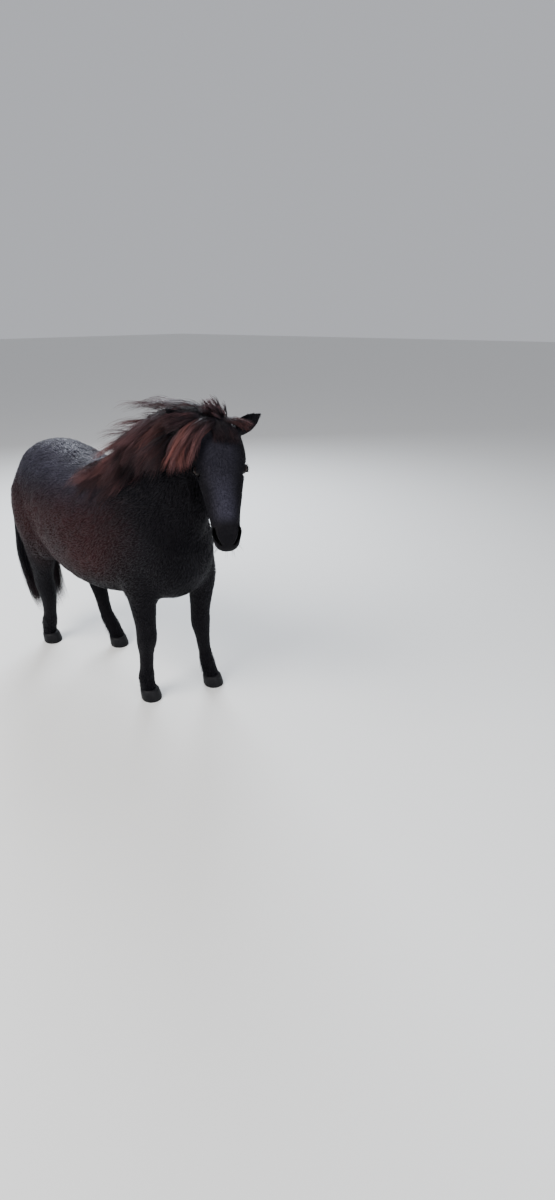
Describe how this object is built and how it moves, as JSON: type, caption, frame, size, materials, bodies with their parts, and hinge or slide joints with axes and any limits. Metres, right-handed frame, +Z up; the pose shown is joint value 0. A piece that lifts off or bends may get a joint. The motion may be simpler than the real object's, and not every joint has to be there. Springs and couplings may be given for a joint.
{
  "type": "shetland pony model",
  "caption": "Life-size still model of a standing dark Shetland pony with its head turned, long windblown mane and a full tail.",
  "frame": {"origin": "on the ground, under the middle of the whole model's box", "axes": "+X toward the pony's front, +Y to its left side, +Z up"},
  "size_m": [1.34, 0.4414, 1.1741],
  "materials": {
    "coat": "short dark fur with long black hair",
    "hoof": "dark grey horn",
    "eye": "wet and glossy"
  },
  "bodies": {
    "root": {"torso": "coat", "neck": "coat", "head": "coat", "ear_left": "coat", "ear_right": "coat", "eye_left": "eye", "eye_right": "eye", "foreleg_left": "coat", "foreleg_right": "coat", "hindleg_left": "coat", "hindleg_right": "coat", "forehoof_left": "hoof", "forehoof_right": "hoof", "hindhoof_left": "hoof", "hindhoof_right": "hoof", "tail": "coat"}
  },
  "joints": []
}
